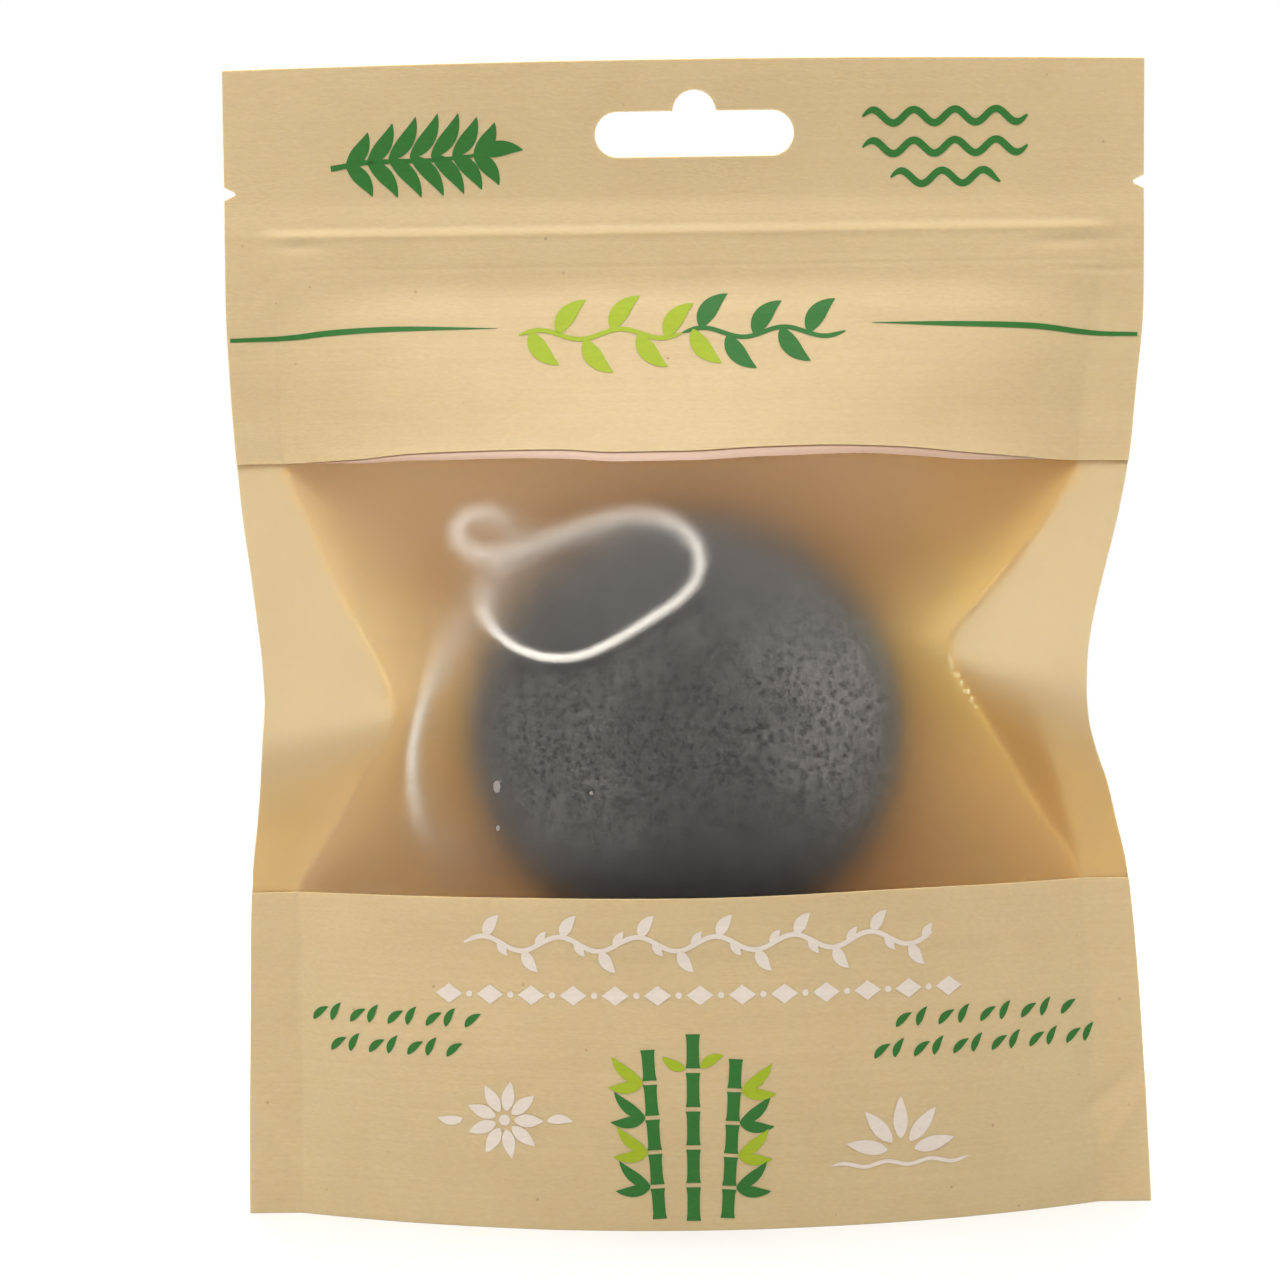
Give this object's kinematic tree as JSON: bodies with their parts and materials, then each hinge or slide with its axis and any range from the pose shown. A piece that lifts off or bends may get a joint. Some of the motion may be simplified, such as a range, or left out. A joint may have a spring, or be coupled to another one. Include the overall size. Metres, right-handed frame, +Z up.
{
  "type": "konjac sponge in window pouch",
  "caption": "Charcoal konjac face sponge with a cotton hanging cord, packed in a stand-up kraft pouch with a frosted window, press zip, tear notches and a peg-hook slot.",
  "frame": {"origin": "middle of the standing footprint: centre of the bounding box at the level of the pouch's bottom edges", "axes": "+X to the right seen from the front, the window faces -Y, +Z up towards the hang slot"},
  "size_m": [0.148, 0.044, 0.1834],
  "materials": {
    "kraft_paper": "matte",
    "frosted_film": "satin",
    "zip_plastic": "satin",
    "charcoal_konjac": "matte",
    "cotton_cord": "matte"
  },
  "bodies": {
    "pouch": {"front_upper_band": "kraft_paper", "window_film": "frosted_film", "front_lower_band": "kraft_paper", "back_panel": "kraft_paper", "bottom_gusset": "kraft_paper", "zip_rib_strip": "zip_plastic", "zip_groove_strip": "zip_plastic"},
    "header": {"header_front_ply": "kraft_paper", "header_back_ply": "kraft_paper"},
    "sponge": {"konjac_sponge": "charcoal_konjac", "hanging_cord": "cotton_cord", "cord_knot": "cotton_cord"}
  },
  "joints": [
    {"name": "header_flex", "type": "hinge", "parent": "pouch", "child": "header", "pos_m": [0, 0.0032, 0.1585], "axis": [1, 0, 0], "range_deg": [-45, 45], "stiffness_Nm_per_rad": 0.03},
    {"name": "sponge_slide", "type": "slide", "parent": "pouch", "child": "sponge", "axis": [0, 0, 1], "range_m": [0, 0.006]}
  ]
}
